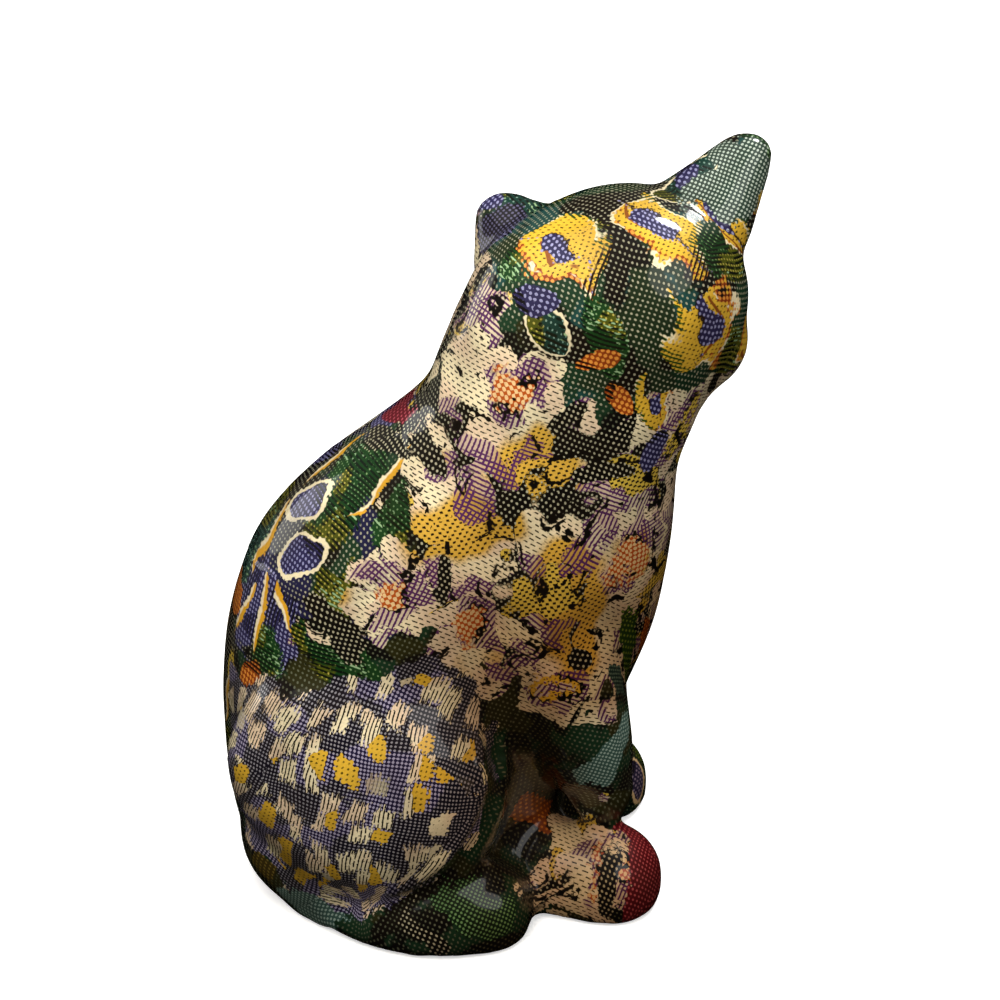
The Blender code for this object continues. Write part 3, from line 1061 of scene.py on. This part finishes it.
cat.data.materials.clear()
cat.data.materials.append(varnish())
cat.data.shade_smooth()
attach(cat, "root")
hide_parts("cat_figurine")
print("nodes in the material:", len(varnished.tree.nodes))

# %% [markdown]
# ## Studio
# The cat stands on a plain pale floor that curves up into a backdrop, so no edge shows behind it.
# Small lamps draw hard spots on varnish, and large ones a veil. So one small soft window gives the
# crisp highlight on the brow. A broad sky, a fill and a low rim lamp give a weak sheen. The lamps
# that only have to light the print are hidden from reflections.

# %% Floor
FLOOR_RADIUS = 3.0  # metres, and so are the two below
COVE_RADIUS = 1.2
COVE_TOP = 3.5
COVE_SIDES = 96
COVE_STEPS = 12


def studio_floor():
    """A flat floor and a cove: one profile spun round the cat's axis."""
    turns = [pi / 2 * number / COVE_STEPS for number in range(COVE_STEPS + 1)]
    curve = [(FLOOR_RADIUS + COVE_RADIUS * sin(turn), COVE_RADIUS * (1 - cos(turn))) for turn in turns]
    outline = [(0, 0)] + curve + [(FLOOR_RADIUS + COVE_RADIUS, COVE_TOP)]
    clay = bmesh.new()
    rings = [clay.verts.new((radius, 0, height)) for radius, height in outline]
    profile = [clay.edges.new(ends) for ends in zip(rings, rings[1:])]
    bmesh.ops.spin(clay, geom=rings + profile, cent=(0, 0, 0), axis=(0, 0, 1), angle=2 * pi,
                   steps=COVE_SIDES, use_merge=True)
    bmesh.ops.remove_doubles(clay, verts=list(clay.verts), dist=0.1 * MM)
    bmesh.ops.recalc_face_normals(clay, faces=list(clay.faces))
    floor = add_mesh("floor", clay)
    floor.data.shade_smooth()
    pale = NodeTree("pale_floor")
    shader = pale.node("ShaderNodeBsdfPrincipled", sockets={
        "Base Color": (0.92, 0.92, 0.92, 1), "Roughness": 0.8, "Specular IOR Level": 0.0,
        "Emission Color": (1, 1, 1, 1), "Emission Strength": 0.5})
    pale.node("ShaderNodeOutputMaterial", sockets={"Surface": shader})
    pale.material.cycles.emission_sampling = "NONE"  # it glows for the camera only
    floor.data.materials.append(pale.material)
    return floor


floor = studio_floor()

# %% Camera and lights
AIM = Vector((-1.5, -3.6, 96.0)) * MM


def seen_from(azimuth, elevation, distance):
    """A place round the cat, azimuth 0 in front of it and 270 on its right."""
    a, e = radians(azimuth), radians(elevation)
    return AIM + Vector((sin(a) * cos(e), -cos(a) * cos(e), sin(e))) * distance


def look_at(obj, target):
    obj.rotation_euler = (target - obj.location).to_track_quat("-Z", "Y").to_euler()


def soft_light(name, azimuth, elevation, distance, size, power, tint=(1, 1, 1)):
    lamp = bpy.data.lights.new(name, "AREA")
    lamp.shape = "DISK"
    lamp.size = size
    lamp.energy = power
    lamp.color = tint
    light = add_object(name, lamp)
    light.location = seen_from(azimuth, elevation, distance)
    look_at(light, AIM)
    return light


soft_light("window", 36, 56, 0.9, 0.25, 4.5)
softbox = soft_light("softbox", 230, 52, 0.42, 0.45, 1.3, (1.0, 0.97, 0.93))
top_light = soft_light("top light", 248, 50, 0.23, 0.16, 0.34, (1.0, 0.96, 0.88))
far_light = soft_light("far side", 80, 34, 0.9, 0.5, 4.0)
front_light = soft_light("front", 345, 24, 0.9, 0.5, 1.9, (1.0, 0.96, 0.9))
for light in (softbox, top_light, far_light, front_light):
    light.visible_glossy = False
soft_light("fill", 318, 38, 0.9, 0.6, 1.1)
soft_light("sky", 185, 62, 0.9, 0.8, 0.85)
soft_light("rim", 150, 12, 0.9, 0.4, 0.6)
world = bpy.data.worlds.new("studio")
world.use_nodes = True
world.node_tree.nodes["Background"].inputs["Color"].default_value = (1, 0.86, 0.7, 1)
world.node_tree.nodes["Background"].inputs["Strength"].default_value = 0.12
world.cycles_visibility.glossy = False
floor.visible_glossy = False
floor.visible_diffuse = False
floor.visible_shadow = False
bpy.context.scene.world = world
bpy.context.scene.view_settings.view_transform = "Standard"

camera_data = bpy.data.cameras.new("camera")
camera_data.sensor_width = 36
camera_data.lens = 82
camera = add_object("camera", camera_data)
camera.location = seen_from(268.5, 28, 0.52)
look_at(camera, AIM)
bpy.context.scene.camera = camera
print("camera at", [round(c, 3) for c in camera.location])
